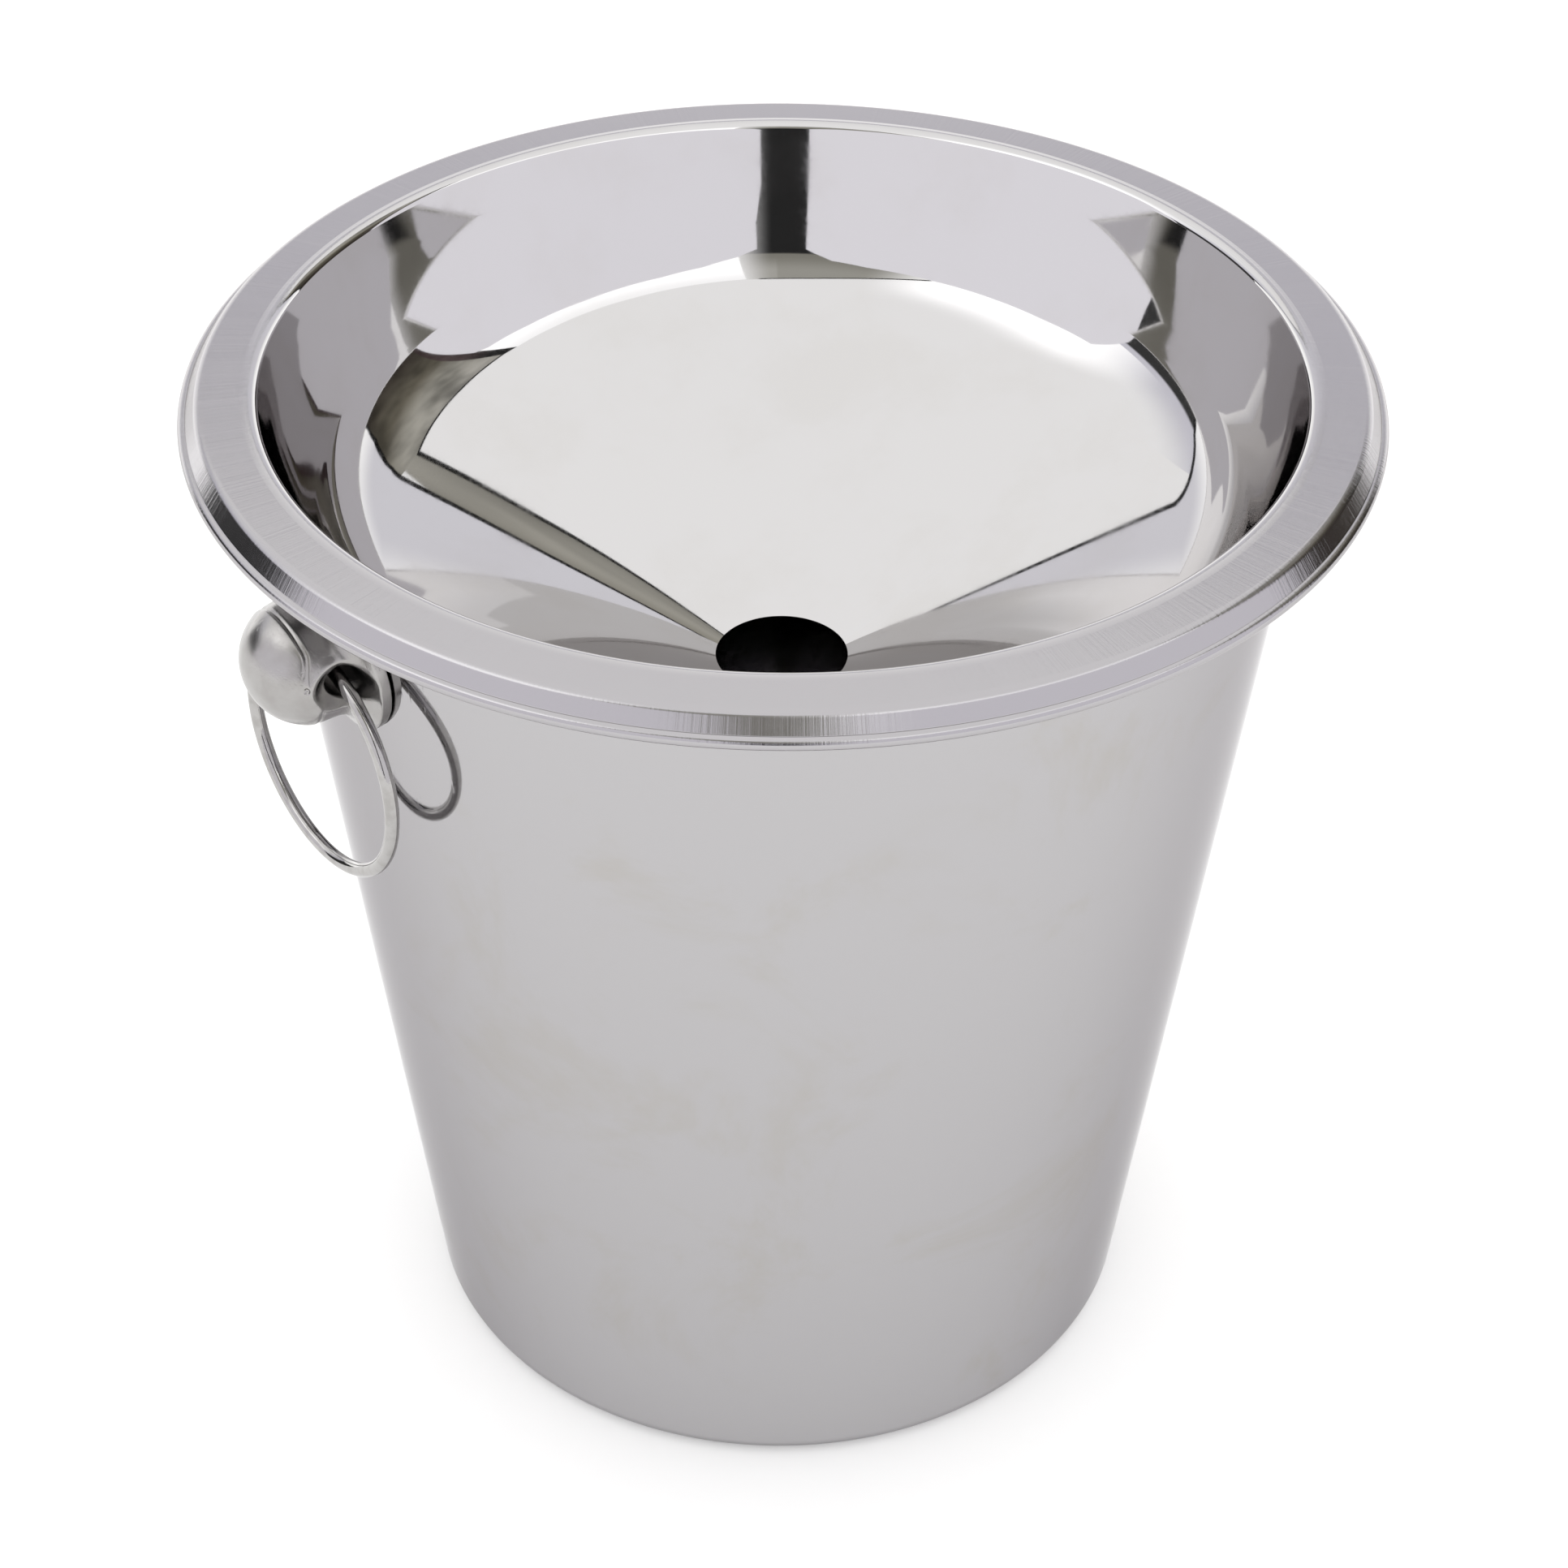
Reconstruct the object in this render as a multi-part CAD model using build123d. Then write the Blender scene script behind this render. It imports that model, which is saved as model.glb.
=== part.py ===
from build123d import *
import math
import os

# A stainless steel wine bucket with a lift-off spittoon funnel, and a ring handle on a cast knob
# each side. Millimetres, +Z up. The bucket stands on z = 0, centred on the Z axis, with its
# handles on -X and +X.

# Bucket
sheet = 0.7                      # thickness of the bucket's and the funnel's sheet
hem_height = 204.4               # height of the widest circle of the funnel's hem
wall_base_radius = 71.2          # outside of the wall, where it would meet the table
wall_hem_radius = 97.0           # outside of the wall, level with the hem
base_corner_radius = 5.2
foot_ring_radius = 61.0          # the base touches the table outside this radius
base_rise = 1.6                  # the middle of the base stands this much off the table
base_step_width = 3.0
base_step_radius = 1.2
rim_height = 208.5               # top of the rolled rim
rim_roll_radius = 3.0
rim_roll_sweep = 285.0           # degrees that the rim curls, from the inside of the wall

# Funnel
drain_radius = 12.7
drain_height = hem_height - 58.6
dish_slope = 24.9                # degrees, floor of the dish
dish_corner_radius = 24.2
dish_wall_lean = 25.8            # degrees off upright, lower wall of the dish
dish_mouth_lean = 18.4           # degrees off upright, upper wall
dish_bend_height = 196.1         # where the two walls would meet
dish_bend_radius = 90.0
dish_mouth_radius = 95.8         # inside of the upper wall, where it would reach the lip's height
seat_gap = 0.05                  # between the land and the rim that carries it
lip_height = 209.85
lip_radius = 1.9
land_inner_radius = 98.45
land_outer_radius = 106.3
land_fall = 0.05                 # drop of the land for each millimetre outwards
land_edge_radius = 2.2
crease_radius = 0.3              # between the lip and the land
hem_radius = 110.0               # half of the funnel's full width
hem_roll_radius = 1.25
hem_start_angle = 97.0           # degrees, where the skirt meets the rolled hem
hem_roll_sweep = 290.0

# Knobs
knob_height = hem_height - 18.9  # middle of the foot, at the wall
foot_radius = 16.5
foot_back = -2.0                 # the foot starts this deep, before its back is cut to the wall
foot_gap = 0.3                   # between the foot's back and the wall
foot_edge = 1.1                  # front of the foot's thin edge
foot_edge_round = 0.25
neck_base_radius = 12.3
neck_base = 2.6
neck_flare = 4.0
neck_top_radius = 11.15
crease_height = 9.75             # groove between the neck and the head
crease_depth = 0.25
crease_half_width = 0.35
head_radius = 11.83
head_centre = 6.1
weld_radius = 5.0
ring_hole_radius = 3.15
ring_hole_height = 4.4           # axis of the hole, from the wall
mouth_distance = 8.2             # each mouth flares outside this distance from the knob's axis
mouth_half_angle = 32.0
mouth_lean = 26.0                # degrees, the flare leans towards the head and spares the foot
mouth_depth = 9.0

# Rings
wire_radius = 1.31
ring_radius = 22.3               # of the wire's centre line
ring_rise = 0.7                  # top of the centre line above the axis of the hole
ring_turn = 3.5                  # degrees about the plumb line: the ring hangs askew in its loose hole
ring_stand_off = 0.4             # middle of the wire outside the axis of the hole

# Worked out from the sizes above
wall_slope = (wall_hem_radius - wall_base_radius) / hem_height
wall_angle = math.degrees(math.atan(wall_slope))
sheet_across = sheet * math.hypot(1, wall_slope)
rim_centre_height = rim_height - rim_roll_radius


def outside_radius(z):
    """Radius of the outside of the bucket's wall at a height."""
    return wall_base_radius + wall_slope * z


rim_tangent_height = rim_centre_height + rim_roll_radius * math.sin(math.radians(wall_angle))
rim_tangent_radius = outside_radius(rim_tangent_height) - sheet_across
rim_centre_radius = rim_tangent_radius + rim_roll_radius * math.cos(math.radians(wall_angle))


def land_top(radius):
    """Height of the top of the funnel's land, which rests on the rim's highest circle."""
    on_rim = rim_height + seat_gap + sheet * math.hypot(1, land_fall)
    return on_rim + land_fall * (rim_centre_radius - radius)


def upright(shape):
    """Stand a shape that is drawn along +Y up along +Z."""
    return Rot(X=90) * shape


def spun_sheet(path):
    """Solid of sheet metal turned about Z: a path of radius and height, thickened to its right."""
    section = path.offset_2d(sheet, side=Side.RIGHT)
    return upright(revolve(make_face(section), Axis.Y, 360))


def make_bucket():
    """Tapered deep-drawn shell with a raised base and a rim rolled outwards."""
    inside = FilletPolyline(
        (0, base_rise + sheet),
        (foot_ring_radius - base_step_width, base_rise + sheet),
        (foot_ring_radius, sheet),
        (outside_radius(sheet) - sheet_across, sheet),
        (rim_tangent_radius, rim_tangent_height),
        radius=[base_step_radius, base_step_radius, base_corner_radius - sheet],
    )
    centre = (rim_centre_radius, rim_centre_height)
    roll = CenterArc(centre, rim_roll_radius, 180 - wall_angle, -rim_roll_sweep)
    return spun_sheet(Wire([*inside.edges(), *roll.edges()]))


def make_funnel():
    """Dish with a drain hole, a raised lip, a flat land and a skirt that ends in a rolled hem."""
    # where the dish's walls would meet, and its floor and lower wall
    mouth_lean = math.tan(math.radians(dish_mouth_lean))
    bend_at = dish_mouth_radius - mouth_lean * (lip_height - dish_bend_height)
    rise = math.tan(math.radians(dish_slope))
    lean = math.tan(math.radians(dish_wall_lean))
    floor_below_bend = drain_height + rise * (bend_at - drain_radius)
    corner_height = (floor_below_bend - rise * lean * dish_bend_height) / (1 - rise * lean)
    corner_at = bend_at - lean * (dish_bend_height - corner_height)
    hem_centre = (hem_radius - hem_roll_radius, hem_height)
    start = math.radians(hem_start_angle)
    skirt_end = (
        hem_centre[0] + hem_roll_radius * math.cos(start),
        hem_centre[1] + hem_roll_radius * math.sin(start),
    )
    top = FilletPolyline(
        (drain_radius, drain_height),
        (corner_at, corner_height),
        (bend_at, dish_bend_height),
        (dish_mouth_radius, lip_height),
        (land_inner_radius, land_top(land_inner_radius)),
        (land_outer_radius, land_top(land_outer_radius)),
        skirt_end,
        radius=[dish_corner_radius, dish_bend_radius, lip_radius, crease_radius, land_edge_radius],
    )
    roll = CenterArc(hem_centre, hem_roll_radius, hem_start_angle, -hem_roll_sweep)
    return spun_sheet(Wire([*top.edges(), *roll.edges()]))


def make_knob():
    """Cast knob standing along +Z, before its foot is cut to the wall, with the ring's hole along Y."""
    groove = crease_height + crease_half_width
    head_start = (math.sqrt(head_radius ** 2 - (groove - head_centre) ** 2), groove)
    side = FilletPolyline(
        (0, foot_back),
        (foot_radius, foot_back),
        (foot_radius, foot_edge),
        (neck_base_radius, neck_base),
        (neck_top_radius, crease_height - crease_half_width),
        (neck_top_radius - crease_depth, crease_height),
        head_start,
        radius=[0, foot_edge_round, neck_flare, 0, 0],
    )
    pole = (0, head_centre + head_radius)
    start = math.degrees(math.atan2(head_start[1] - head_centre, head_start[0]))
    dome = CenterArc((0, head_centre), head_radius, start, 90 - start)
    axis = Line(pole, (0, foot_back))
    outline = Wire([*side.edges(), *dome.edges(), *axis.edges()])
    knob = upright(revolve(make_face(outline), Axis.Y, 360))
    hole = Rot(X=90) * Cylinder(ring_hole_radius, 2 * foot_radius)
    wide_end = ring_hole_radius + mouth_depth * math.tan(math.radians(mouth_half_angle))
    mouth = Cone(ring_hole_radius, wide_end, mouth_depth, align=(Align.CENTER, Align.CENTER, Align.MIN))
    mouth = Pos(Y=mouth_distance) * Rot(X=mouth_lean - 90) * mouth
    return knob - Pos(Z=ring_hole_height) * (hole + mouth + mirror(mouth, Plane.XZ))


def make_weld():
    """Weld metal between the foot and the wall, before it is trimmed to the wall."""
    return Cylinder(weld_radius, 2)


def wall_cone(gap):
    """Everything inside the bucket's outer wall, and a gap outside it."""
    cone = Cone(wall_base_radius + gap, wall_hem_radius + gap, hem_height)
    return Pos(Z=hem_height / 2) * cone


def handle_place():
    """Where the left knob's foot meets the wall, with Z outwards and Y across the handle."""
    origin = (-outside_radius(knob_height), 0, knob_height)
    slant = math.radians(wall_angle)
    outwards = (-math.cos(slant), 0, -math.sin(slant))
    return Plane(origin=origin, x_dir=(-math.sin(slant), 0, math.cos(slant)), z_dir=outwards)


def make_ring(place):
    """Closed wire ring hanging plumb through the hole."""
    hole = place.from_local_coords(Vector(0, 0, ring_hole_height))
    centre = Vector(hole.X - ring_stand_off, 0, hole.Z + ring_rise - ring_radius)
    turn = math.radians(ring_turn)
    facing = (math.cos(turn), math.sin(turn), 0)
    return Plane(origin=centre, z_dir=facing).location * Torus(ring_radius, wire_radius)


bucket_body = make_bucket()
spittoon_funnel = make_funnel()
place = handle_place()
knob = place.location * make_knob() - wall_cone(foot_gap)
handle_knob = knob + (place.location * make_weld() - wall_cone(0))
handle_ring = make_ring(place)
opposite = Rot(Z=180)

nodes = {
    "bucket_body": bucket_body,
    "spittoon_funnel": spittoon_funnel,
    "handle_knob_left": handle_knob,
    "handle_knob_right": opposite * handle_knob,
    "ring_handle_left": handle_ring,
    "ring_handle_right": opposite * handle_ring,
}

os.makedirs("parts", exist_ok=True)
for name, shape in nodes.items():
    export_step(shape, "parts/" + name + ".step")

hinge = place.from_local_coords(Vector(0, 0, ring_hole_height))
print("hole axis at", round(hinge.X, 4), round(hinge.Z, 4))
print("rim centre", round(rim_centre_radius, 3), rim_centre_height)
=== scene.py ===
import math

import bpy
import numpy as np
from mathutils import Matrix, Vector


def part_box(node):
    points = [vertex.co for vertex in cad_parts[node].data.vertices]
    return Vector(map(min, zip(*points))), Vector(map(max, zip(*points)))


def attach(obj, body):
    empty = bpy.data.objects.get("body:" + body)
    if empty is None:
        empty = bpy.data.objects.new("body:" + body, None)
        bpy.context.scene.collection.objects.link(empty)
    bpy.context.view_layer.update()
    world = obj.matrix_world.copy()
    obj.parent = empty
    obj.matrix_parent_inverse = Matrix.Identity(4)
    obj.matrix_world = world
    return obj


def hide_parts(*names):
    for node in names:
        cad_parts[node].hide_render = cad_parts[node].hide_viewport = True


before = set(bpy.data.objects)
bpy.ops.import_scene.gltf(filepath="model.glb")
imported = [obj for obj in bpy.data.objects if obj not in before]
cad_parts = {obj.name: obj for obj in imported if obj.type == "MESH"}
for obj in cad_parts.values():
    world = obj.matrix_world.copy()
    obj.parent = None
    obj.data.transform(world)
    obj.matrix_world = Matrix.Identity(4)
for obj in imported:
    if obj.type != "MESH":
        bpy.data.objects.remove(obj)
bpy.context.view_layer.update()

# A stainless steel wine bucket with a lift-off spittoon funnel and a ring handle on a cast knob
# each side. Lengths are in millimetres until a mesh is made, and then in metres.

MM = 0.001


def box_mm(node):
    """Lowest and highest corner of a CAD node, in millimetres."""
    low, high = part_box(node)
    return Vector(low) / MM, Vector(high) / MM


# Sheet metal
sheet = 0.7
hem_roll_radius = 1.25
hem_radius = box_mm("spittoon_funnel")[1].y
hem_height = 204.4
wall_base_radius = 71.2
wall_hem_radius = 97.0
wall_slope = (wall_hem_radius - wall_base_radius) / hem_height
wall_lean = math.atan(wall_slope)
sheet_across = sheet * math.hypot(1, wall_slope)

# Bucket
base_corner_radius = 5.2
foot_ring_radius = 61.0
base_rise = 1.6
base_step_width = 3.0
base_step_radius = 1.2
rim_height = box_mm("bucket_body")[1].z
rim_roll_radius = 3.0
rim_roll_sweep = 285.0

# Funnel
drain_radius = 12.7
drain_depth = 58.6               # of the drain's edge below the hem
dish_slope = 24.9
dish_corner_radius = 24.2
dish_wall_lean = 25.8
dish_mouth_lean = 18.4
dish_bend_height = 196.1
dish_bend_radius = 90.0
dish_mouth_radius = 95.8
seat_gap = 0.05
lip_height = 209.85
lip_radius = 1.9
land_inner_radius = 98.45
land_outer_radius = 106.3
land_fall = 0.05
land_edge_radius = 2.2
crease_radius = 0.3
hem_start_angle = 97.0
hem_roll_sweep = 290.0

# Knobs and rings
knob_height = hem_height - 18.9
ring_hole_height = 4.4
ring_radius = 22.3
wire_radius = 1.31
ring_rise = 0.7
ring_turn = 3.5
ring_stand_off = 0.4

turn_segments = 256              # around every turned piece


# Turned sheet metal

def rounded_path(points, radii, step=4.0):
    """Points and left-hand normals along straight runs joined by tangent arcs."""
    points = [np.array(p, float) for p in points]
    places = []
    normals = []

    def add(place, normal):
        places.append(place)
        normals.append(normal)

    def left(a, b):
        along = (b - a) / np.linalg.norm(b - a)
        return np.array((-along[1], along[0]))

    add(points[0], left(points[0], points[1]))
    for before, corner, after, radius in zip(points, points[1:], points[2:], radii):
        back = (before - corner) / np.linalg.norm(before - corner)
        ahead = (after - corner) / np.linalg.norm(after - corner)
        half = math.acos(np.clip(back @ ahead, -1, 1)) / 2
        middle = (back + ahead) / np.linalg.norm(back + ahead)
        centre = corner + middle * radius / math.sin(half)
        start = left(before, corner)
        end = left(corner, after)
        side = 1 if start @ (centre - corner) > 0 else -1
        turn = math.pi - 2 * half
        count = max(4, int(math.degrees(turn) / step))
        first = math.atan2(*(-side * start)[::-1])
        for i in range(count + 1):
            angle = first + side * turn * i / count
            outward = np.array((math.cos(angle), math.sin(angle)))
            add(centre + radius * outward, -side * outward)
    add(points[-1], left(points[-2], points[-1]))
    return places, normals


def curl(centre, radius, start, sweep, step=6.0):
    """Points and outward normals of a clockwise roll, without its first point."""
    count = int(sweep / step)
    angles = [math.radians(start - sweep * i / count) for i in range(1, count + 1)]
    outward = [np.array((math.cos(a), math.sin(a))) for a in angles]
    return [np.array(centre) + radius * o for o in outward], outward


def refine(places, normals, longest=6.0):
    """The same line with its straight runs cut into short ones."""
    fine_places = [places[0]]
    fine_normals = [normals[0]]
    for a, b, m, n in zip(places, places[1:], normals, normals[1:]):
        cuts = max(1, math.ceil(np.linalg.norm(b - a) / longest))
        for i in range(1, cuts + 1):
            fine_places.append(a + (b - a) * i / cuts)
            fine_normals.append(m + (n - m) * i / cuts)
    return fine_places, fine_normals


def shell_outline(places, normals, closed_at_axis=False):
    """Closed outline of sheet metal whose left side is the given line.

    Returns its points, and for each edge the normal at its start and at its end."""
    under = [p - sheet * n for p, n in zip(places, normals)]
    loop = places + under[::-1]
    starts = list(normals[:-1])
    ends = list(normals[1:])
    last_along = np.array((normals[-1][1], -normals[-1][0]))
    first_along = np.array((normals[0][1], -normals[0][0]))
    starts.append(last_along)
    ends.append(last_along)
    down = [-n for n in normals[::-1]]
    starts += down[:-1]
    ends += down[1:]
    if not closed_at_axis:
        starts.append(-first_along)
        ends.append(-first_along)
    return loop, starts, ends


def mesh_object(name, points, faces, loop_normals):
    """Object in metres from millimetre points, with its exact normals."""
    mesh = bpy.data.meshes.new(name)
    mesh.from_pydata((np.asarray(points) * MM).tolist(), [], faces)
    mesh.shade_smooth()
    mesh.normals_split_custom_set(loop_normals)
    obj = bpy.data.objects.new(name, mesh)
    bpy.context.scene.collection.objects.link(obj)
    return obj


def turned(name, outline, place=None):
    """Solid of revolution about Z of an outline of radius and height."""
    loop, starts, ends = outline
    angles = [2 * math.pi * j / turn_segments for j in range(turn_segments)]
    ring = np.array([(math.cos(a), math.sin(a)) for a in angles])
    points = []
    index = []
    for radius, height in loop:
        if radius < 1e-6:
            index.append([len(points)] * turn_segments)
            points.append((0, 0, height))
        else:
            index.append(list(range(len(points), len(points) + turn_segments)))
            points += [(radius * c, radius * s, height) for c, s in ring]
    faces = []
    loop_normals = []
    for i in range(len(starts)):
        k = (i + 1) % len(loop)
        for j in range(turn_segments):
            n = (j + 1) % turn_segments
            corners = (
                (index[i][j], starts[i], j),
                (index[k][j], ends[i], j),
                (index[k][n], ends[i], n),
                (index[i][n], starts[i], n),
            )
            seen = []
            for corner in corners:
                if corner[0] not in [c[0] for c in seen]:
                    seen.append(corner)
            faces.append([c[0] for c in seen])
            loop_normals += [(m[0] * ring[a][0], m[0] * ring[a][1], m[1]) for _, m, a in seen]
    obj = mesh_object(name, points, faces, loop_normals)
    if place is not None:
        obj.data.transform(place)
    return obj


def outside_radius(z):
    """Radius of the outside of the bucket's wall at a height."""
    return wall_base_radius + wall_slope * z


rim_centre_height = rim_height - rim_roll_radius
rim_tangent_height = rim_centre_height + rim_roll_radius * math.sin(wall_lean)
rim_tangent_radius = outside_radius(rim_tangent_height) - sheet_across
rim_centre_radius = rim_tangent_radius + rim_roll_radius * math.cos(wall_lean)


def bucket_outline():
    places, normals = rounded_path(
        [
            (0, base_rise + sheet),
            (foot_ring_radius - base_step_width, base_rise + sheet),
            (foot_ring_radius, sheet),
            (outside_radius(sheet) - sheet_across, sheet),
            (rim_tangent_radius, rim_tangent_height),
        ],
        [base_step_radius, base_step_radius, base_corner_radius - sheet],
    )
    more_places, more_normals = curl(
        (rim_centre_radius, rim_centre_height),
        rim_roll_radius,
        180 - math.degrees(wall_lean),
        rim_roll_sweep,
    )
    line = refine(places + more_places, normals + more_normals)
    return shell_outline(*line, closed_at_axis=True)


def land_top(radius):
    """Height of the top of the land, which rests on the rim's highest circle."""
    on_rim = rim_height + seat_gap + sheet * math.hypot(1, land_fall)
    return on_rim + land_fall * (rim_centre_radius - radius)


def funnel_outline():
    drain_height = hem_height - drain_depth
    mouth_lean = math.tan(math.radians(dish_mouth_lean))
    bend_at = dish_mouth_radius - mouth_lean * (lip_height - dish_bend_height)
    rise = math.tan(math.radians(dish_slope))
    lean = math.tan(math.radians(dish_wall_lean))
    floor_below_bend = drain_height + rise * (bend_at - drain_radius)
    corner_height = (floor_below_bend - rise * lean * dish_bend_height) / (1 - rise * lean)
    corner_at = bend_at - lean * (dish_bend_height - corner_height)
    centre = (hem_radius - hem_roll_radius, hem_height)
    start = math.radians(hem_start_angle)
    skirt_end = (
        centre[0] + hem_roll_radius * math.cos(start),
        centre[1] + hem_roll_radius * math.sin(start),
    )
    places, normals = rounded_path(
        [
            (drain_radius, drain_height),
            (corner_at, corner_height),
            (bend_at, dish_bend_height),
            (dish_mouth_radius, lip_height),
            (land_inner_radius, land_top(land_inner_radius)),
            (land_outer_radius, land_top(land_outer_radius)),
            skirt_end,
        ],
        [dish_corner_radius, dish_bend_radius, lip_radius, crease_radius, land_edge_radius],
    )
    more_places, more_normals = curl(centre, hem_roll_radius, hem_start_angle, hem_roll_sweep)
    return shell_outline(*refine(places + more_places, normals + more_normals))


def wire_outline(centre_radius, radius, steps=28):
    """Closed round section of a wire ring, clockwise, so that its left side faces out."""
    angles = [-2 * math.pi * i / steps for i in range(steps)]
    outward = [np.array((math.cos(a), math.sin(a))) for a in angles]
    loop = [np.array((centre_radius, 0)) + radius * o for o in outward]
    return loop, outward, outward[1:] + outward[:1]


# Cast knob: a distance field in its own frame. X is up the wall, Y across the handle, and S out
# from the wall along the knob's axis.

foot_radius = 16.5
foot_gap = 0.3                   # between the foot's back and the wall
foot_edge = 1.1
foot_round = 0.25
foot_rise = 0.36                 # slope of the foot's front, inwards
neck_low_radius = 11.95          # at the wall
neck_taper = 0.085               # the neck narrows by this much for each millimetre outwards
foot_blend = 3.2
head_radius = 11.83
head_centre = 6.1
groove_height = 9.75
groove_depth = 0.32
groove_width = 0.36
ring_hole_radius = 3.15
hole_round = 0.7
scallop_centre = (0.0, 15.2, 5.3)
scallop_size = (6.4, 6.3, 7.2)
scallop_foot_size = 3.9
scallop_bead = 0.22
weld_radius = 5.0
knob_cell = 0.22                 # grid of the knob's mesh


def smooth_step(value, low, high):
    part = np.clip((value - low) / (high - low), 0, 1)
    return part * part * (3 - 2 * part)


def smooth_union(a, b, blend):
    part = np.clip(0.5 + 0.5 * (b - a) / blend, 0, 1)
    return b + (a - b) * part - blend * part * (1 - part)


def smooth_cut(a, tool, blend):
    return -smooth_union(-a, tool, blend)


def casting_waves(x, y, s):
    """Slow unevenness of a cast and tumbled surface."""
    waves = np.sin(0.61 * x + 0.4 * s + 0.7) * np.sin(0.53 * y - 0.35 * s + 1.9)
    waves = waves + 0.5 * np.sin(1.27 * x - 0.9 * y + 0.8 * s)
    return 0.02 * waves


def off_the_wall(x, y, s):
    """Distance from the bucket's outer wall."""
    level = outside_radius(knob_height) + x * math.sin(wall_lean) + s * math.cos(wall_lean)
    height = knob_height + x * math.cos(wall_lean) - s * math.sin(wall_lean)
    return (np.hypot(level, y) - outside_radius(height)) * math.cos(wall_lean)


def knob_field(x, y, s):
    """Signed distance, nearly, to the knob's surface: negative inside."""
    rho = np.hypot(x, y)
    theta = np.degrees(np.arctan2(x, -y))
    head = np.sqrt(rho ** 2 + (s - head_centre) ** 2) - head_radius
    neck = rho - (neck_low_radius - neck_taper * s)
    # the groove between neck and head drifts outwards beside the hole and fades there
    drift = smooth_step(theta, 44, 14) * smooth_step(theta, -12, 4)
    groove_at = groove_height + 1.8 * drift
    fade = smooth_step(theta, 8, 30) + 0.75 * smooth_step(theta, -12, -24)
    fade = np.where(np.abs(theta) > 150, 0.6, np.clip(fade, 0, 1))
    over = smooth_step(s, groove_at - 0.5, groove_at + 0.5)
    body = neck + (head - neck) * over
    body = body + groove_depth * fade * np.exp(-np.abs((s - groove_at) / groove_width) ** 1.4)
    front = s - (foot_edge + foot_rise * (foot_radius - rho))
    plate = smooth_cut(rho - foot_radius, -front, foot_round)
    body = smooth_union(body, plate, foot_blend)
    body = body + casting_waves(x, y, s)
    # scallop round each mouth of the hole, with a raised edge
    along = np.where(s > scallop_centre[2], scallop_size[2], scallop_foot_size)
    px = x / scallop_size[0]
    py = (np.abs(y) - scallop_centre[1]) / scallop_size[1]
    ps = (s - scallop_centre[2]) / along
    reach = np.sqrt(px ** 2 + py ** 2 + ps ** 2)
    steep = np.sqrt((px / scallop_size[0]) ** 2 + (py / scallop_size[1]) ** 2 + (ps / along) ** 2)
    scallop = reach * (reach - 1) / np.maximum(steep, 1e-6)
    body = body - scallop_bead * np.exp(-((scallop - 0.5) / 0.9) ** 2) * smooth_step(s, 3, 7)
    hole = np.hypot(x, s - ring_hole_height) - ring_hole_radius
    tool = smooth_union(scallop, hole, hole_round)
    body = smooth_cut(body, tool, 0.55)
    # small casting pit where the groove fades
    pit = np.sqrt((x - 1.85) ** 2 + (y + 10.5) ** 2 + (s - 11.75) ** 2) - 0.55
    body = smooth_cut(body, pit, 0.35)
    off = off_the_wall(x, y, s)
    body = smooth_cut(body, off - foot_gap, foot_round)
    weld = np.maximum(rho - weld_radius, np.abs(off - foot_gap) - foot_gap + 0.02)
    return np.minimum(body, weld)


def surface_net(field, low, high, cell):
    """Quads on the zero level of a field, with one point in each cell that the level crosses."""
    axes = [np.arange(a, b + cell, cell) for a, b in zip(low, high)]
    x, y, s = np.meshgrid(*axes, indexing="ij")
    value = field(x, y, s)
    inside = value < 0
    cells = tuple(n - 1 for n in value.shape)
    total = np.zeros(cells + (3,))
    count = np.zeros(cells)
    crossings = []
    for axis in range(3):
        a = [slice(None)] * 3
        b = [slice(None)] * 3
        a[axis] = slice(0, -1)
        b[axis] = slice(1, None)
        a = tuple(a)
        b = tuple(b)
        at = np.argwhere(inside[a] != inside[b])
        va = value[a][tuple(at.T)]
        vb = value[b][tuple(at.T)]
        place = at.astype(float)
        place[:, axis] += va / (va - vb)
        outward = inside[a][tuple(at.T)]
        crossings.append((axis, at, outward))
        others = [k for k in range(3) if k != axis]
        for i in (0, 1):
            for j in (0, 1):
                c = at.copy()
                c[:, others[0]] -= i
                c[:, others[1]] -= j
                np.add.at(total, tuple(c.T), place)
                np.add.at(count, tuple(c.T), 1)
    used = np.argwhere(count > 0)
    number = np.full(cells, -1)
    number[tuple(used.T)] = np.arange(len(used))
    points = total[tuple(used.T)] / count[tuple(used.T)][:, None] * cell + np.array(low)
    faces = []
    for axis, at, outward in crossings:
        u, v = (axis + 1) % 3, (axis + 2) % 3
        quad = []
        for du, dv in ((1, 1), (0, 1), (0, 0), (1, 0)):
            c = at.copy()
            c[:, u] -= du
            c[:, v] -= dv
            quad.append(number[tuple(c.T)])
        quad = np.stack(quad, 1)
        quad[~outward] = quad[~outward][:, ::-1]
        faces.append(quad)
    return points, np.concatenate(faces)


def field_normals(field, points, reach=0.02):
    """Unit gradient of a field and its length."""
    gradient = np.zeros_like(points)
    for axis in range(3):
        step = np.zeros(3)
        step[axis] = reach
        gradient[:, axis] = (field(*(points + step).T) - field(*(points - step).T)) / (2 * reach)
    length = np.linalg.norm(gradient, axis=1)[:, None]
    return gradient / length, length


def knob_mesh():
    low = (-foot_radius - 1, -foot_radius - 1, -2.5)
    high = (foot_radius + 1, foot_radius + 1, head_centre + head_radius + 1)
    points, faces = surface_net(knob_field, low, high, knob_cell)
    for _ in range(3):
        normals, length = field_normals(knob_field, points)
        slip = np.clip(knob_field(*points.T)[:, None] / length, -0.1, 0.1)
        points = points - normals * slip
    normals, _ = field_normals(knob_field, points, 0.06)
    return points, faces, normals


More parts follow.
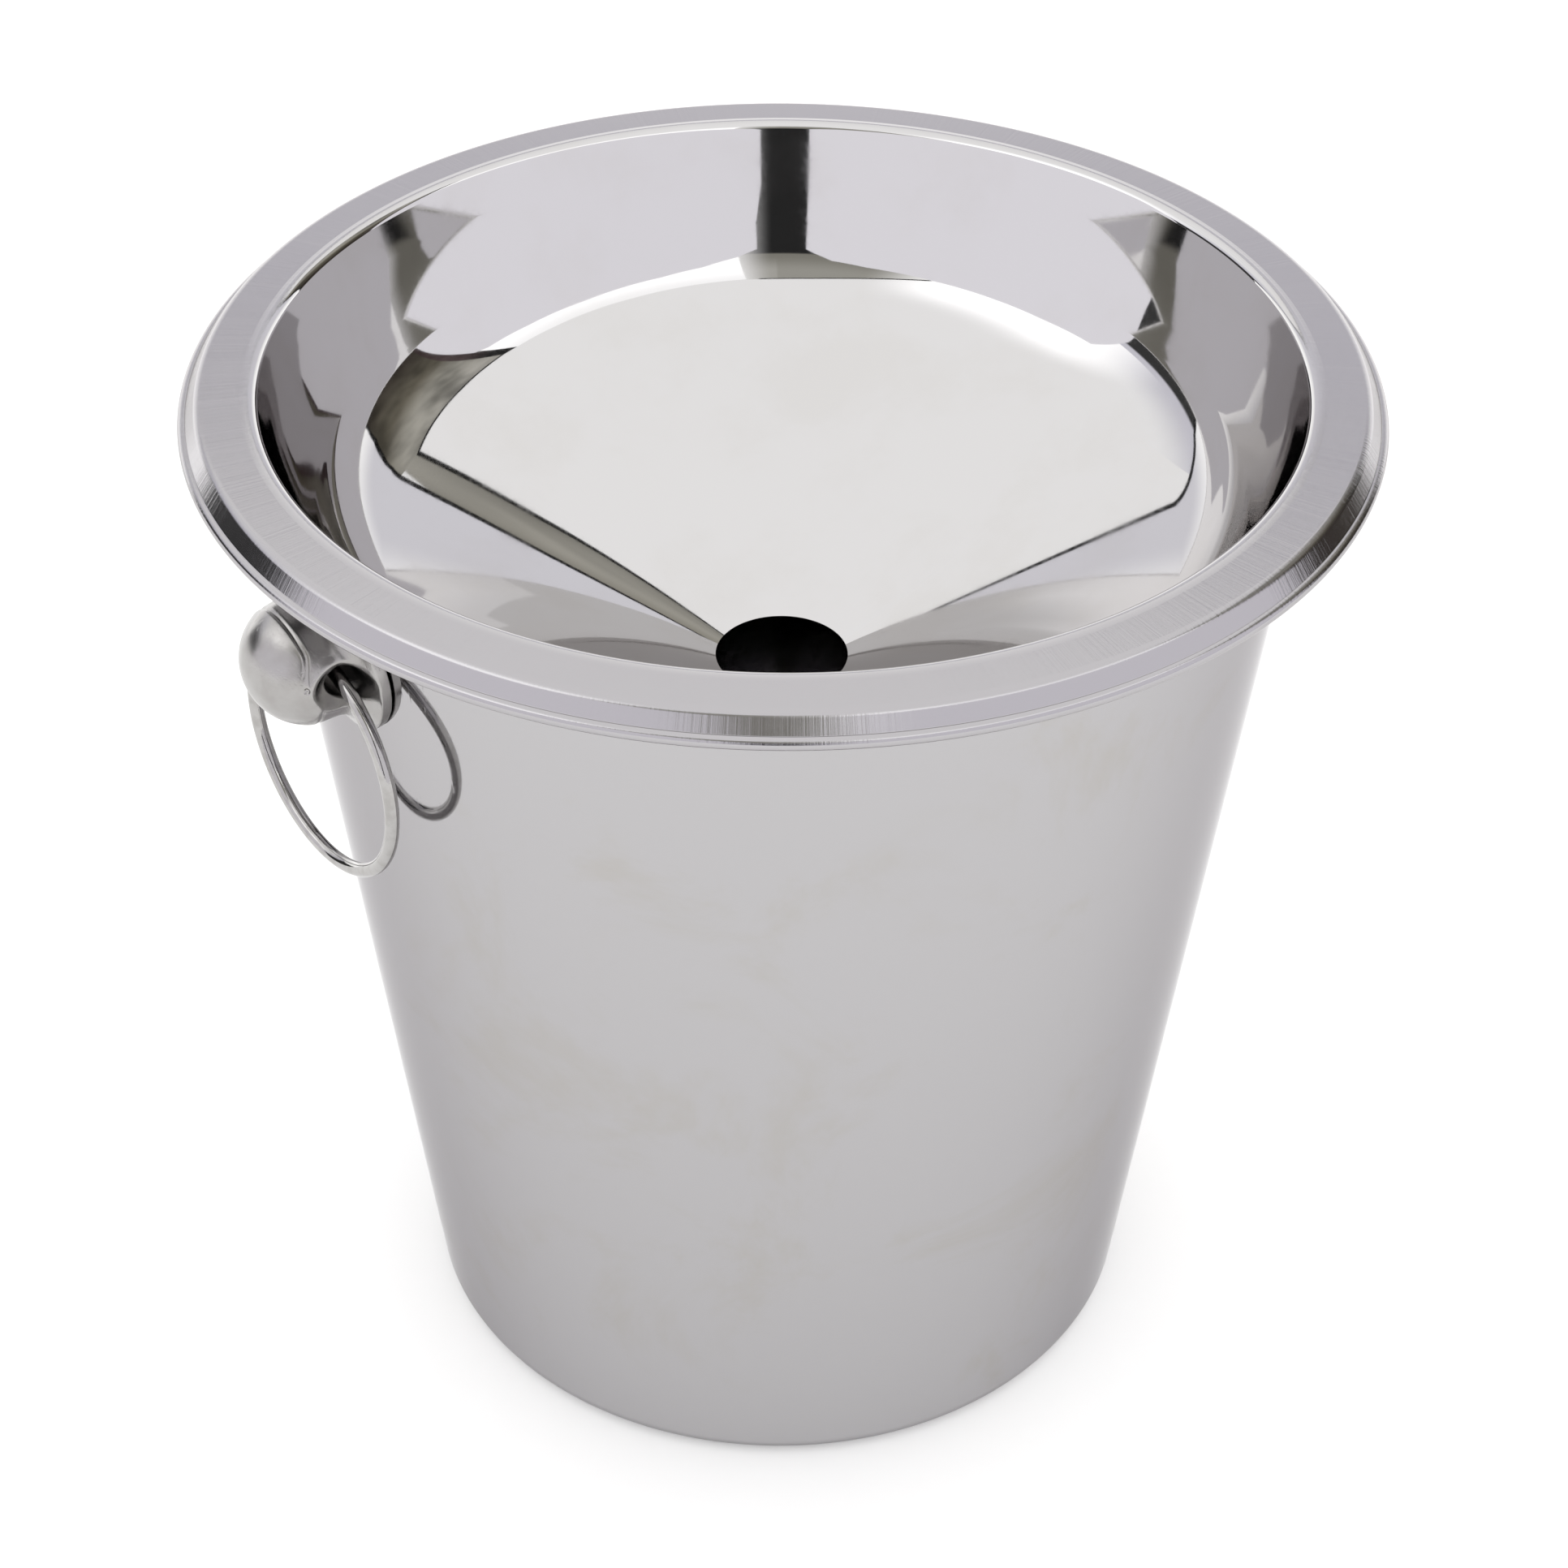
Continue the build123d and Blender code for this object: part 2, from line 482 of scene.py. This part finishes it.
def knob_object(name, shape, place):
    """The knob on the bucket's wall. place is its frame, in metres."""
    points, faces, normals = shape
    obj = mesh_object(name, points, faces.tolist(), normals[faces.ravel()].tolist())
    obj.data.transform(place)
    return obj


def handle_frame():
    """Where the left knob's foot meets the wall: X up the wall, Y across, Z out."""
    axes = Matrix(((-math.sin(wall_lean), 0, -math.cos(wall_lean)),
                   (0, 1, 0),
                   (math.cos(wall_lean), 0, -math.sin(wall_lean))))
    origin = Vector((-outside_radius(knob_height), 0, knob_height)) * MM
    return Matrix.Translation(origin) @ axes.to_4x4()


def ring_frame(knob_place):
    """Middle of the left ring, with Z across its plane."""
    hole = knob_place @ Vector((0, 0, ring_hole_height * MM))
    centre = hole + Vector((-ring_stand_off, 0, ring_rise - ring_radius)) * MM
    turn = Matrix.Rotation(math.radians(ring_turn), 4, "Z") @ Matrix.Rotation(math.pi / 2, 4, "Y")
    return Matrix.Translation(centre) @ turn


# Materials

class Nodes:
    """Short names for building one material's node tree."""

    def __init__(self, name):
        self.material = bpy.data.materials.new(name)
        self.material.use_nodes = True
        self.tree = self.material.node_tree
        self.shader = self.tree.nodes["Principled BSDF"]

    def add(self, kind, **settings):
        node = self.tree.nodes.new(kind)
        for key, value in settings.items():
            setattr(node, key, value)
        return node

    def link(self, source, target):
        self.tree.links.new(source, target)

    def feed(self, socket, value):
        if isinstance(value, bpy.types.NodeSocket):
            self.link(value, socket)
        else:
            socket.default_value = value

    def math(self, operation, a, b=0.0):
        node = self.add("ShaderNodeMath", operation=operation)
        self.feed(node.inputs[0], a)
        self.feed(node.inputs[1], b)
        return node.outputs[0]

    def ramp(self, value, low, high, out_low=0.0, out_high=1.0):
        node = self.add("ShaderNodeMapRange", interpolation_type="SMOOTHSTEP")
        for socket, given in zip(node.inputs, (value, low, high, out_low, out_high)):
            self.feed(socket, given)
        return node.outputs[0]

    def noise(self, vector, scale, detail=2.0, roughness=0.5, distortion=0.0):
        node = self.add("ShaderNodeTexNoise")
        self.link(vector, node.inputs["Vector"])
        node.inputs["Scale"].default_value = scale
        node.inputs["Detail"].default_value = detail
        node.inputs["Roughness"].default_value = roughness
        node.inputs["Distortion"].default_value = distortion
        return node.outputs["Fac"]

    def scaled(self, vector, factors, turn=(0.0, 0.0, 0.0)):
        node = self.add("ShaderNodeMapping")
        self.link(vector, node.inputs["Vector"])
        node.inputs["Rotation"].default_value = turn
        node.inputs["Scale"].default_value = factors
        return node.outputs["Vector"]

    def mix(self, factor, a, b):
        node = self.add("ShaderNodeMix", data_type="RGBA")
        self.feed(node.inputs[0], factor)
        self.feed(node.inputs[6], a)
        self.feed(node.inputs[7], b)
        return node.outputs[2]

    def bump(self, height, distance, under=None):
        node = self.add("ShaderNodeBump")
        self.link(height, node.inputs["Height"])
        node.inputs["Distance"].default_value = distance
        node.inputs["Strength"].default_value = 1.0
        if under is not None:
            self.link(under, node.inputs["Normal"])
        return node.outputs["Normal"]

    def place(self):
        """The point in the object's own frame, in metres."""
        return self.add("ShaderNodeTexCoord").outputs["Object"]


def round_axis(nodes, place):
    """Direction from the Z axis as a unit vector, and the distance from it, in metres."""
    flat = nodes.add("ShaderNodeVectorMath", operation="MULTIPLY")
    nodes.link(place, flat.inputs[0])
    flat.inputs[1].default_value = (1, 1, 0)
    length = nodes.add("ShaderNodeVectorMath", operation="LENGTH")
    nodes.link(flat.outputs[0], length.inputs[0])
    unit = nodes.add("ShaderNodeVectorMath", operation="NORMALIZE")
    nodes.link(flat.outputs[0], unit.inputs[0])
    return unit.outputs[0], length.outputs["Value"]


def funnel_steel():
    """Mirror polish, with ripples across the flange and handling marks on it."""
    nodes = Nodes("funnel_polish")
    place = nodes.place()
    around, radius = round_axis(nodes, place)
    on_flange = nodes.ramp(radius, 0.0955, 0.0985)
    smudge = nodes.ramp(nodes.noise(place, 38, 4, 0.6), 0.45, 0.72)
    fine = nodes.ramp(nodes.noise(place, 900, 3, 0.65), 0.35, 0.75)
    tone = nodes.mix(nodes.math("MULTIPLY", smudge, 0.35), (0.575, 0.567, 0.568, 1), (0.53, 0.515, 0.50, 1))
    tone = nodes.mix(on_flange, tone, (0.42, 0.41, 0.422, 1))
    nodes.link(tone, nodes.shader.inputs["Base Color"])
    rough = nodes.ramp(smudge, 0.0, 1.0, 0.03, 0.06)
    rough = nodes.math("ADD", rough, nodes.math("MULTIPLY", on_flange, 0.10))
    rough = nodes.math("ADD", rough, nodes.math("MULTIPLY", fine, 0.02))
    nodes.link(rough, nodes.shader.inputs["Roughness"])
    # slow waves of the spun dish
    waves = nodes.noise(place, 26, 1, 0.4)
    normal = nodes.bump(waves, 0.00006)
    ripple = nodes.noise(around, 190, 4, 0.65)
    normal = nodes.bump(nodes.math("MULTIPLY", ripple, on_flange), 0.000032, under=normal)
    nodes.link(normal, nodes.shader.inputs["Normal"])
    nodes.shader.inputs["Metallic"].default_value = 1.0
    nodes.shader.inputs["Specular Tint"].default_value = (0.80, 0.79, 0.785, 1)
    return nodes.material


def bucket_steel():
    """Polished wall with wiping marks, faint warm stains and fine scratches."""
    nodes = Nodes("bucket_polish")
    place = nodes.place()
    stain = nodes.ramp(nodes.noise(place, 24, 5, 0.68, 0.6), 0.5, 0.72)
    tone = nodes.mix(nodes.math("MULTIPLY", stain, 0.5), (0.45, 0.442, 0.45, 1), (0.415, 0.395, 0.365, 1))
    nodes.link(tone, nodes.shader.inputs["Base Color"])
    wipe = nodes.noise(nodes.scaled(place, (60, 60, 900), (0.5, 0.4, 0.0)), 1.0, 4, 0.6)
    rough = nodes.ramp(wipe, 0.3, 0.75, 0.035, 0.075)
    rough = nodes.math("ADD", rough, nodes.math("MULTIPLY", stain, 0.06))
    nodes.link(rough, nodes.shader.inputs["Roughness"])
    normal = nodes.bump(nodes.noise(place, 22, 1, 0.4), 0.00007)
    scratch_place = nodes.scaled(place, (90, 90, 9), (0.5, 0.3, 0.4))
    scratches = nodes.ramp(nodes.noise(scratch_place, 9.0, 3, 0.7), 0.62, 0.74)
    normal = nodes.bump(scratches, 0.000006, under=normal)
    nodes.link(normal, nodes.shader.inputs["Normal"])
    nodes.shader.inputs["Metallic"].default_value = 1.0
    nodes.shader.inputs["Specular Tint"].default_value = (0.66, 0.65, 0.66, 1)
    return nodes.material


def cast_steel():
    """Satin cast surface: fine grain and small pits."""
    nodes = Nodes("knob_casting")
    place = nodes.place()
    cloud = nodes.noise(place, 160, 3, 0.6)
    tone = nodes.mix(nodes.ramp(cloud, 0.35, 0.7), (0.385, 0.376, 0.37, 1), (0.335, 0.325, 0.315, 1))
    nodes.link(tone, nodes.shader.inputs["Base Color"])
    rough = nodes.ramp(cloud, 0.3, 0.7, 0.22, 0.27)
    nodes.link(rough, nodes.shader.inputs["Roughness"])
    grain = nodes.noise(place, 4200, 3, 0.6)
    pits = nodes.ramp(nodes.noise(place, 1700, 2, 0.5), 0.30, 0.40)
    normal = nodes.bump(grain, 0.000012)
    normal = nodes.bump(pits, 0.000012, under=normal)
    nodes.link(normal, nodes.shader.inputs["Normal"])
    nodes.shader.inputs["Metallic"].default_value = 1.0
    return nodes.material


def ring_steel():
    """Drawn and polished wire with fine lengthwise scratches and dull patches."""
    nodes = Nodes("ring_wire")
    place = nodes.place()
    cloud = nodes.noise(place, 420, 4, 0.6)
    tone = nodes.mix(nodes.ramp(cloud, 0.4, 0.7), (0.42, 0.412, 0.405, 1), (0.36, 0.35, 0.34, 1))
    nodes.link(tone, nodes.shader.inputs["Base Color"])
    rough = nodes.ramp(cloud, 0.35, 0.75, 0.05, 0.11)
    nodes.link(rough, nodes.shader.inputs["Roughness"])
    normal = nodes.bump(nodes.noise(place, 2600, 3, 0.6), 0.000008)
    nodes.link(normal, nodes.shader.inputs["Normal"])
    nodes.shader.inputs["Metallic"].default_value = 1.0
    return nodes.material


steel = {
    "funnel_steel": funnel_steel(),
    "bucket_steel": bucket_steel(),
    "cast_steel": cast_steel(),
    "ring_steel": ring_steel(),
}


def finish_piece(obj, slot, body, *nodes):
    """Gives a piece its material and slot and its body, and hides the CAD nodes that it stands for."""
    obj.data.materials.append(steel[slot])
    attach(obj, body)
    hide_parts(*nodes)


bucket = turned("bucket_shell", bucket_outline())
finish_piece(bucket, "bucket_steel", "bucket", "bucket_body")
funnel = turned("funnel_shell", funnel_outline())
finish_piece(funnel, "funnel_steel", "funnel", "spittoon_funnel")

knob_shape = knob_mesh()
for side, turn in (("left", 0.0), ("right", math.pi)):
    around = Matrix.Rotation(turn, 4, "Z")
    knob_place = handle_frame()
    knob = knob_object("knob_" + side, knob_shape, around @ knob_place)
    finish_piece(knob, "cast_steel", "bucket", "handle_knob_" + side)
    ring_place = around @ ring_frame(knob_place)
    ring = turned("ring_" + side, wire_outline(ring_radius, wire_radius), ring_place)
    finish_piece(ring, "ring_steel", "ring_" + side, "ring_handle_" + side)


# Studio. Azimuths are measured from straight ahead of the camera, clockwise from above.

camera_azimuth = 35.0            # the camera looks this far round from +Y towards +X
camera_reach = 0.7008            # to the axis, level with the hem
camera_height_angle = 31.08
camera_pitch = 36.97
camera_yaw = 0.06
camera_roll = 0.42
camera_lens = 87.53
eye = 0.18                       # height that the screens' angles are worked out from


def studio_point(azimuth, distance, height):
    """Point in the frame from its azimuth, distance from the axis and height, in metres."""
    heading = math.radians(camera_azimuth + azimuth)
    return Vector((distance * math.sin(heading), distance * math.cos(heading), height))


def stage_mesh(name, points, faces):
    """Object of the studio, from points in metres."""
    mesh = bpy.data.meshes.new(name)
    mesh.from_pydata([tuple(p) for p in points], [], faces)
    obj = bpy.data.objects.new(name, mesh)
    bpy.context.scene.collection.objects.link(obj)
    return obj


def studio_angle(nodes):
    """Azimuth of the point, in degrees, as the screens give it, and its height in metres."""
    split = nodes.add("ShaderNodeSeparateXYZ")
    turn = (0.0, 0.0, math.radians(camera_azimuth))
    nodes.link(nodes.scaled(nodes.place(), (1, 1, 1), turn), split.inputs[0])
    angle = nodes.math("ARCTAN2", split.outputs["X"], split.outputs["Y"])
    return nodes.math("MULTIPLY", angle, math.degrees(1)), split.outputs["Z"]


def glow(name, distance, colours, fades, patchy):
    """Light whose colour changes with the angle above the eye, and that fades at its edges.

    colours is a list of (degrees above the eye, colour). fades lists (which, from, to), where
    the light is gone at from and full at to."""
    nodes = Nodes(name)
    azimuth, height = studio_angle(nodes)
    rise = nodes.math("MULTIPLY", nodes.math("SUBTRACT", height, eye), 1 / distance)
    rise = nodes.math("MULTIPLY", nodes.math("ARCTANGENT", rise), math.degrees(1))
    low, shade = colours[0]
    colour = tuple(shade) + (1,)
    for high, upper in colours[1:]:
        colour = nodes.mix(nodes.ramp(rise, low, high), colour, tuple(upper) + (1,))
        low = high
    if patchy:
        cloud = nodes.ramp(nodes.noise(nodes.place(), 2.2 / distance, 3, 0.6), 0.35, 0.65)
        colour = nodes.mix(nodes.math("MULTIPLY", cloud, patchy), colour, (0, 0, 0, 1))
    emission = nodes.add("ShaderNodeEmission")
    nodes.feed(emission.inputs["Color"], colour)
    result = emission.outputs[0]
    if fades:
        full = 1.0
        for which, gone, whole in fades:
            value = azimuth if which == "azimuth" else rise
            full = nodes.math("MULTIPLY", nodes.ramp(value, gone, whole), full)
        clear = nodes.add("ShaderNodeBsdfTransparent")
        blend = nodes.add("ShaderNodeMixShader")
        nodes.link(full, blend.inputs[0])
        nodes.link(clear.outputs[0], blend.inputs[1])
        nodes.link(result, blend.inputs[2])
        result = blend.outputs[0]
    nodes.link(result, nodes.tree.nodes["Material Output"].inputs["Surface"])
    nodes.tree.nodes.remove(nodes.shader)
    return nodes.material


def show_in_reflections(obj, material):
    """Gives a studio piece its light and hides it from all but reflections."""
    obj.data.materials.append(material)
    obj.visible_camera = False
    obj.visible_diffuse = False
    obj.visible_shadow = False


def strip_faces(count):
    """Quads between neighbouring pairs of points."""
    return [(2 * i, 2 * i + 2, 2 * i + 3, 2 * i + 1) for i in range(count - 1)]


def screen(name, distance, top, colours, low=-12.0, fades=(), patchy=0.0):
    """Curved screen seen only in reflections. top lists (azimuth, degrees above the eye)."""
    points = []
    stations = []
    for (a, up_a), (b, up_b) in zip(top, top[1:]):
        count = max(1, round(abs(b - a) / 3))
        stations += [(a + (b - a) * i / count, up_a + (up_b - up_a) * i / count) for i in range(count)]
    stations.append(top[-1])
    for azimuth, up in stations:
        foot = eye + distance * math.tan(math.radians(low))
        head = eye + distance * math.tan(math.radians(up))
        points.append(studio_point(azimuth, distance, max(foot, 0.0)))
        points.append(studio_point(azimuth, distance, max(head, 0.0)))
    obj = stage_mesh(name, points, strip_faces(len(stations)))
    show_in_reflections(obj, glow(name, distance, colours, fades, patchy))


def grey(value):
    return (value, value, value)


def ribbon(name, distance, width, path):
    """Thin dark edge seen only in reflections, along a path of (azimuth, degrees above the eye)."""
    def direction(azimuth, up):
        level = math.cos(math.radians(up))
        return studio_point(azimuth, level, math.sin(math.radians(up)))

    middle = [direction(azimuth, up) for azimuth, up in path]
    points = []
    for i, here in enumerate(middle):
        along = middle[min(i + 1, len(middle) - 1)] - middle[max(i - 1, 0)]
        across = here.cross(along).normalized() * math.radians(width) / 2
        for side in (here - across, here + across):
            points.append(side * distance + Vector((0, 0, eye)))
    obj = stage_mesh(name, points, strip_faces(len(path)))
    show_in_reflections(obj, glow(name, distance, [(0, grey(0.01))], (), 0.0))


screen(
    "back_board", 1.40,
    [(-58, 10), (-50, 17), (-40, 22), (-22.5, 30), (0, 36), (20, 36), (32.5, 31), (40, 26), (46, 21),
     (50, 15), (52, 8)],
    [(-5, grey(2.0)), (14, grey(1.5)), (24, (1.0, 0.99, 1.05))],
)
screen(
    "back_board_edge", 1.42,
    [(-59, 11), (-50, 18.3), (-40, 23.2), (-22.5, 31), (0, 37), (20, 37), (32.5, 32), (41, 27),
     (47, 22), (51, 15), (53, 8)],
    [(0, grey(0.01))],
)
screen(
    "board_left", 2.0,
    [(-174.6, 8), (-174.5, 24), (-172.5, 27.5), (-167.5, 33.7), (-157.5, 36.7), (-139, 37.5),
     (-120, 37), (-105, 36), (-89, 32.5), (-85.5, 15)],
    [(0, (1.16, 1.14, 1.20))],
)
screen(
    "lamp_left", 2.6,
    [(-175, 68), (-50, 68)],
    [(25, grey(1.9)), (42, grey(2.1)), (66, grey(1.3))],
    low=20,
    fades=[("azimuth", -158, -128), ("azimuth", -66, -94), ("rise", 68, 46)],
)
screen(
    "flat_left", 2.7,
    [(-90, 46), (-38, 46)],
    [(16, grey(0.06)), (17.5, (0.90, 0.89, 0.98)), (38, grey(1.3))],
    fades=[("rise", 46, 36)],
)
screen(
    "room_right", 3.0,
    [(28, 38), (45, 42.5), (57.5, 45.5), (70, 47.5), (84, 49.3)],
    [(10, (0.10, 0.085, 0.07)), (26, (0.22, 0.20, 0.155)), (38, (0.62, 0.60, 0.53)),
     (46, (0.66, 0.64, 0.58))],
    patchy=0.6,
)
screen(
    "room_right_edge", 3.05,
    [(28, 38.7), (45, 43.2), (57.5, 46.2), (70, 48.2), (84, 50)],
    [(0, grey(0.01))],
)
screen(
    "lamp_right", 2.3,
    [(82, 50.5), (100, 52), (130, 53), (168, 52)],
    [(42, grey(1.9)), (52, grey(1.6))],
    low=20,
)
screen(
    "board_right", 2.0,
    [(79, 10), (82, 38.7), (85, 41), (100, 43), (120, 43.3), (145, 41), (157.5, 37.5), (167.5, 31),
     (173, 24), (174.5, 15), (174.6, 8)],
    [(0, (1.14, 1.12, 1.18))],
)
screen(
    "gap_right", 2.2,
    [(78, 49.5), (83, 50.5)],
    [(10, (0.10, 0.07, 0.07)), (34, (0.16, 0.12, 0.12)), (46, grey(0.03))],
    patchy=0.5,
)
screen(
    "camera_gap", 3.2,
    [(178, 52.3), (195, 50), (208, 45), (221, 37.5), (222, 30)],
    [(27, grey(0.03)), (29, (0.32, 0.31, 0.27)), (45, (0.5, 0.49, 0.44))],
)
screen(
    "camera_gap_right", 3.2,
    [(166, 52), (178, 52.3)],
    [(27, grey(0.03)), (29, (0.32, 0.31, 0.27)), (45, (0.6, 0.59, 0.54))],
    fades=[("azimuth", 165, 177)],
)
ribbon(
    "camera_gap_edge", 3.1, 0.8,
    [(172, 52.3), (180, 52.3), (188, 51.6), (195, 50), (208, 45), (221, 37.5)],
)

floor = stage_mesh("floor", [studio_point(a, 6.0, 0.0) for a in (45, 135, 225, 315)], [(3, 2, 1, 0)])
paper = Nodes("floor_paper")
paper.shader.inputs["Base Color"].default_value = (0.90, 0.90, 0.90, 1)
paper.shader.inputs["Roughness"].default_value = 0.9
paper.shader.inputs["Emission Color"].default_value = (1, 1, 1, 1)
paper.shader.inputs["Emission Strength"].default_value = 0.15
floor.data.materials.append(paper.material)

world = bpy.data.worlds.new("studio")
world.use_nodes = True
world.node_tree.nodes["Background"].inputs["Color"].default_value = (1.0, 0.995, 0.99, 1)
world.node_tree.nodes["Background"].inputs["Strength"].default_value = 1.3
bpy.context.scene.world = world

camera = bpy.data.objects.new("camera", bpy.data.cameras.new("camera"))
bpy.context.scene.collection.objects.link(camera)
camera.data.lens = camera_lens
camera.data.sensor_width = 36.0
camera.data.clip_start = 0.01
up_angle = math.radians(camera_height_angle)
camera_distance = camera_reach * math.cos(up_angle)
camera_height = hem_height * MM + camera_reach * math.sin(up_angle)
stand = studio_point(180, camera_distance, camera_height)
heading = Matrix.Rotation(-math.radians(camera_azimuth + camera_yaw), 4, "Z")
tilt = Matrix.Rotation(math.radians(90 - camera_pitch), 4, "X")
roll = Matrix.Rotation(math.radians(camera_roll), 4, "Z")
camera.matrix_world = Matrix.Translation(stand) @ heading @ tilt @ roll
bpy.context.scene.camera = camera
bpy.context.scene.view_settings.view_transform = "Standard"
